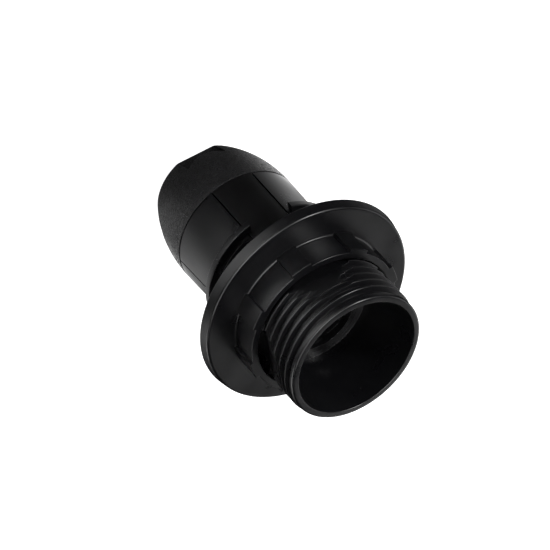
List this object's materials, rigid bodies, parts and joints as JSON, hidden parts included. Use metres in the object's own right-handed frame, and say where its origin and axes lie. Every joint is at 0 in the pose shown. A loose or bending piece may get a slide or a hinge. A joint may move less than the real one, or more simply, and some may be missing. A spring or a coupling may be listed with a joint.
{
  "type": "lamp holder",
  "caption": "Small black plastic screw lamp holder: domed clip-on cap with a threaded cable entry, externally threaded sleeve and a screw-on shade ring with a wide flange.",
  "frame": {"origin": "centre of the cap's flat end, which the holder stands on", "axes": "+Z along the holder's axis, out of the mouth that takes the lamp; +Y through one of the cap's two tongues; +X towards the locking screw"},
  "size_m": [0.0438, 0.0438, 0.056],
  "materials": {
    "cap_plastic": "moulded black thermoplastic with a fine spark-eroded grain",
    "black_plastic": "moulded black thermoplastic, satin",
    "insert_plastic": "moulded black thermoplastic, satin",
    "bronze": "stamped phosphor bronze strip",
    "brass": "bright cut brass",
    "zinc_steel": "bright zinc-plated steel"
  },
  "bodies": {
    "cap": {"cap": "cap_plastic"},
    "locking_screw": {"locking_screw": "zinc_steel"},
    "holder": {"housing": "black_plastic", "lamp_insert": "insert_plastic", "side_contact": "bronze", "centre_contact": "bronze", "terminal_plate_side": "brass", "terminal_plate_centre": "brass", "rivet_side": "brass", "rivet_centre": "brass"},
    "ring": {"shade_ring": "black_plastic"},
    "side_screw": {"terminal_screw_side": "zinc_steel", "clamp_washer_side": "zinc_steel"},
    "centre_screw": {"terminal_screw_centre": "zinc_steel", "clamp_washer_centre": "zinc_steel"}
  },
  "joints": [
    {"name": "cap_release", "type": "slide", "parent": "cap", "child": "holder", "axis": [0, 0, 1], "range_m": [0, 0.026]},
    {"name": "ring_travel", "type": "slide", "parent": "holder", "child": "ring", "axis": [0, 0, 1], "range_m": [-0.00875, 0.0125]},
    {"name": "locking_screw_travel", "type": "slide", "parent": "cap", "child": "locking_screw", "axis": [1, 0, 0], "range_m": [-0.0007, 0.001]},
    {"name": "side_screw_travel", "type": "slide", "parent": "holder", "child": "side_screw", "axis": [0, 0, -1], "range_m": [0, 0.003]},
    {"name": "centre_screw_travel", "type": "slide", "parent": "holder", "child": "centre_screw", "axis": [0, 0, -1], "range_m": [0, 0.003]}
  ]
}
